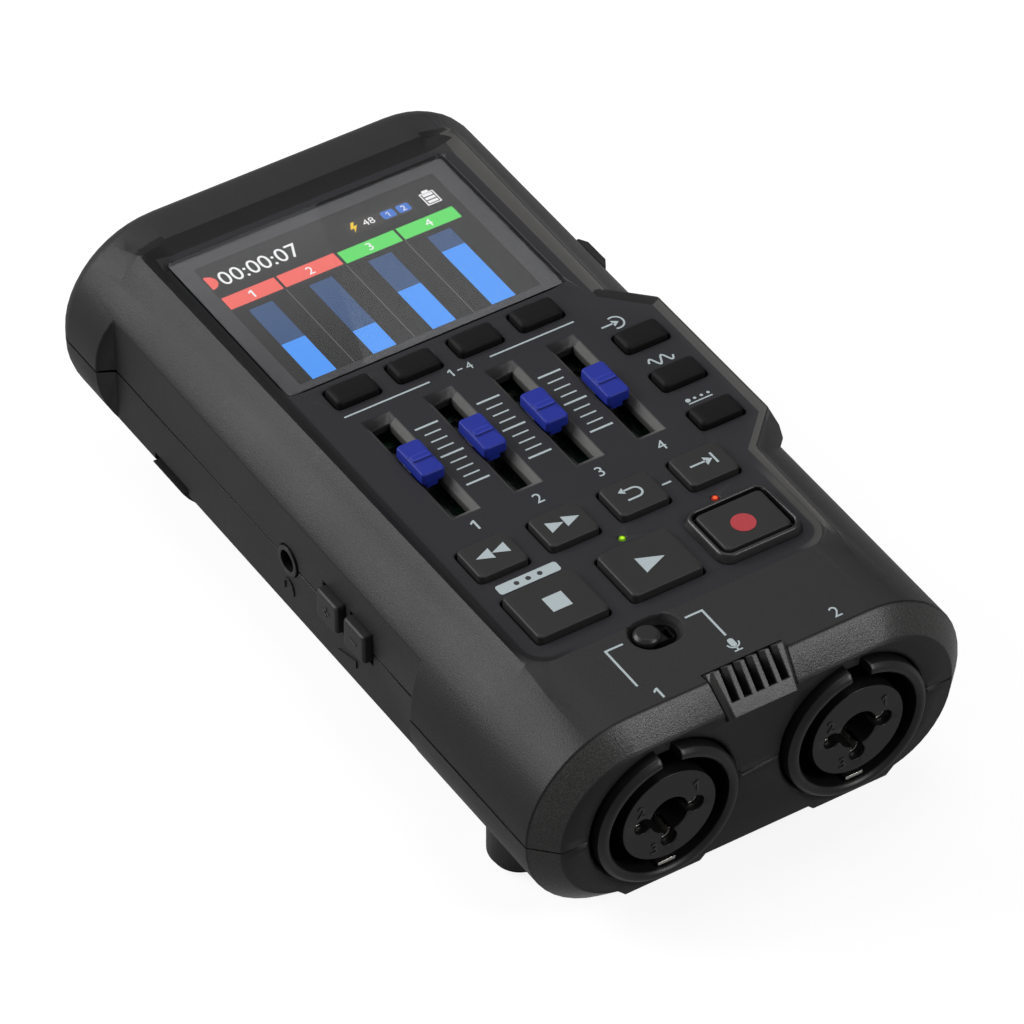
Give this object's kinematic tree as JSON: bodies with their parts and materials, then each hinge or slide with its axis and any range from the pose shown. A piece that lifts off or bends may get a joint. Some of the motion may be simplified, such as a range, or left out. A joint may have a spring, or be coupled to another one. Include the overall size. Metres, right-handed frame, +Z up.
{
  "type": "handheld multitrack recorder",
  "caption": "Pocket multitrack audio recorder: rounded dark case with a lit display, blue faders, transport keys, combination input sockets at the front and a headphone socket on the side.",
  "frame": {"origin": "middle of the bounding box in plan, at the underside of the feet", "axes": "+X to the right, +Y from the input sockets to the rear, +Z up from the control panel"},
  "size_m": [0.0756, 0.1396, 0.0408],
  "materials": {
    "shell_plastic": "fine moulded grain",
    "bezel_gloss": "polished",
    "lens_clear": "polished",
    "display_lit": "lit colour display",
    "board_green": "solder mask",
    "screw_steel": "satin",
    "switch_metal": "satin",
    "light_green": "lit",
    "light_red": "lit",
    "socket_black": "satin",
    "contact_metal": "plated",
    "cell_sleeve": "printed sleeve",
    "insert_brass": "machined",
    "rubber_black": "matte",
    "key_plastic": "satin",
    "cap_blue": "satin"
  },
  "bodies": {
    "case": {"top_shell": "shell_plastic", "bottom_shell": "shell_plastic", "mic_grille": "shell_plastic", "mic_capsule": "switch_metal", "record_bezel": "bezel_gloss", "display_lens": "lens_clear", "display_module": "display_lit", "control_board": "board_green", "main_board": "board_green", "board_screws": "screw_steel", "case_screws": "screw_steel", "key_switches": "switch_metal", "play_light": "light_green", "record_light": "light_red", "jack_housing_a": "socket_black", "jack_housing_b": "socket_black", "jack_insert_a": "socket_black", "jack_insert_b": "socket_black", "jack_contacts": "contact_metal", "headphone_socket": "socket_black", "selector_switch": "switch_metal", "power_switch": "switch_metal", "usb_socket": "contact_metal", "card_socket": "contact_metal", "battery_cells": "cell_sleeve", "battery_contacts": "contact_metal", "tripod_insert": "insert_brass", "foot_pads": "rubber_black", "fader_body_1": "switch_metal", "fader_body_2": "switch_metal", "fader_body_3": "switch_metal", "fader_body_4": "switch_metal"},
    "fader_1": {"fader_lever_1": "key_plastic", "fader_cap_1": "cap_blue"},
    "fader_2": {"fader_lever_2": "key_plastic", "fader_cap_2": "cap_blue"},
    "fader_3": {"fader_lever_3": "key_plastic", "fader_cap_3": "cap_blue"},
    "fader_4": {"fader_lever_4": "key_plastic", "fader_cap_4": "cap_blue"},
    "track_key_1": {"track_key_1": "rubber_black"},
    "track_key_2": {"track_key_2": "rubber_black"},
    "track_key_3": {"track_key_3": "rubber_black"},
    "track_key_4": {"track_key_4": "rubber_black"},
    "rhythm_key": {"rhythm_key": "rubber_black"},
    "effect_key": {"effect_key": "rubber_black"},
    "input_key": {"input_key": "rubber_black"},
    "rewind_key": {"rewind_key": "key_plastic"},
    "forward_key": {"forward_key": "key_plastic"},
    "undo_key": {"undo_key": "key_plastic"},
    "bounce_key": {"bounce_key": "key_plastic"},
    "stop_key": {"stop_key": "key_plastic"},
    "play_key": {"play_key": "key_plastic"},
    "record_key": {"record_key": "key_plastic"},
    "input_selector": {"input_selector": "key_plastic"},
    "volume_up_key": {"volume_up_key": "key_plastic"},
    "volume_down_key": {"volume_down_key": "key_plastic"},
    "power_slider": {"power_slider": "key_plastic"},
    "battery_cover": {"battery_cover": "shell_plastic"}
  },
  "joints": [
    {"name": "fader_1_slide", "type": "slide", "parent": "case", "child": "fader_1", "axis": [0, 1, 0], "range_m": [-0.0072, 0.0072]},
    {"name": "fader_2_slide", "type": "slide", "parent": "case", "child": "fader_2", "axis": [0, 1, 0], "range_m": [-0.0072, 0.0072]},
    {"name": "fader_3_slide", "type": "slide", "parent": "case", "child": "fader_3", "axis": [0, 1, 0], "range_m": [-0.0072, 0.0072]},
    {"name": "fader_4_slide", "type": "slide", "parent": "case", "child": "fader_4", "axis": [0, 1, 0], "range_m": [-0.0072, 0.0072]},
    {"name": "track_key_1_press", "type": "slide", "parent": "case", "child": "track_key_1", "axis": [0, 0, -1], "range_m": [0, 0.0006], "stiffness_N_per_m": 800, "springref_m": -0.0005},
    {"name": "track_key_2_press", "type": "slide", "parent": "case", "child": "track_key_2", "axis": [0, 0, -1], "range_m": [0, 0.0006], "stiffness_N_per_m": 800, "springref_m": -0.0005},
    {"name": "track_key_3_press", "type": "slide", "parent": "case", "child": "track_key_3", "axis": [0, 0, -1], "range_m": [0, 0.0006], "stiffness_N_per_m": 800, "springref_m": -0.0005},
    {"name": "track_key_4_press", "type": "slide", "parent": "case", "child": "track_key_4", "axis": [0, 0, -1], "range_m": [0, 0.0006], "stiffness_N_per_m": 800, "springref_m": -0.0005},
    {"name": "rhythm_key_press", "type": "slide", "parent": "case", "child": "rhythm_key", "axis": [0, 0, -1], "range_m": [0, 0.0006], "stiffness_N_per_m": 800, "springref_m": -0.0005},
    {"name": "effect_key_press", "type": "slide", "parent": "case", "child": "effect_key", "axis": [0, 0, -1], "range_m": [0, 0.0006], "stiffness_N_per_m": 800, "springref_m": -0.0005},
    {"name": "input_key_press", "type": "slide", "parent": "case", "child": "input_key", "axis": [0, 0, -1], "range_m": [0, 0.0006], "stiffness_N_per_m": 800, "springref_m": -0.0005},
    {"name": "rewind_key_press", "type": "slide", "parent": "case", "child": "rewind_key", "axis": [0, 0, -1], "range_m": [0, 0.0006], "stiffness_N_per_m": 800, "springref_m": -0.0005},
    {"name": "forward_key_press", "type": "slide", "parent": "case", "child": "forward_key", "axis": [0, 0, -1], "range_m": [0, 0.0006], "stiffness_N_per_m": 800, "springref_m": -0.0005},
    {"name": "undo_key_press", "type": "slide", "parent": "case", "child": "undo_key", "axis": [0, 0, -1], "range_m": [0, 0.0006], "stiffness_N_per_m": 800, "springref_m": -0.0005},
    {"name": "bounce_key_press", "type": "slide", "parent": "case", "child": "bounce_key", "axis": [0, 0, -1], "range_m": [0, 0.0006], "stiffness_N_per_m": 800, "springref_m": -0.0005},
    {"name": "stop_key_press", "type": "slide", "parent": "case", "child": "stop_key", "axis": [0, 0, -1], "range_m": [0, 0.0006], "stiffness_N_per_m": 800, "springref_m": -0.0005},
    {"name": "play_key_press", "type": "slide", "parent": "case", "child": "play_key", "axis": [0, 0, -1], "range_m": [0, 0.0006], "stiffness_N_per_m": 800, "springref_m": -0.0005},
    {"name": "record_key_press", "type": "slide", "parent": "case", "child": "record_key", "axis": [0, 0, -1], "range_m": [0, 0.0006], "stiffness_N_per_m": 800, "springref_m": -0.0005},
    {"name": "input_selector_slide", "type": "slide", "parent": "case", "child": "input_selector", "axis": [1, 0, 0], "range_m": [0, 0.003]},
    {"name": "volume_up_key_press", "type": "slide", "parent": "case", "child": "volume_up_key", "axis": [1, 0, 0], "range_m": [0, 0.0006], "stiffness_N_per_m": 800, "springref_m": -0.0005},
    {"name": "volume_down_key_press", "type": "slide", "parent": "case", "child": "volume_down_key", "axis": [1, 0, 0], "range_m": [0, 0.0006], "stiffness_N_per_m": 800, "springref_m": -0.0005},
    {"name": "power_slide", "type": "slide", "parent": "case", "child": "power_slider", "axis": [0, 1, 0], "range_m": [-0.002, 0.002]},
    {"name": "battery_cover_hinge", "type": "hinge", "parent": "case", "child": "battery_cover", "pos_m": [0.0286, 0.0382, 0.00773], "axis": [0, -1, 0], "range_deg": [0, 85]}
  ]
}
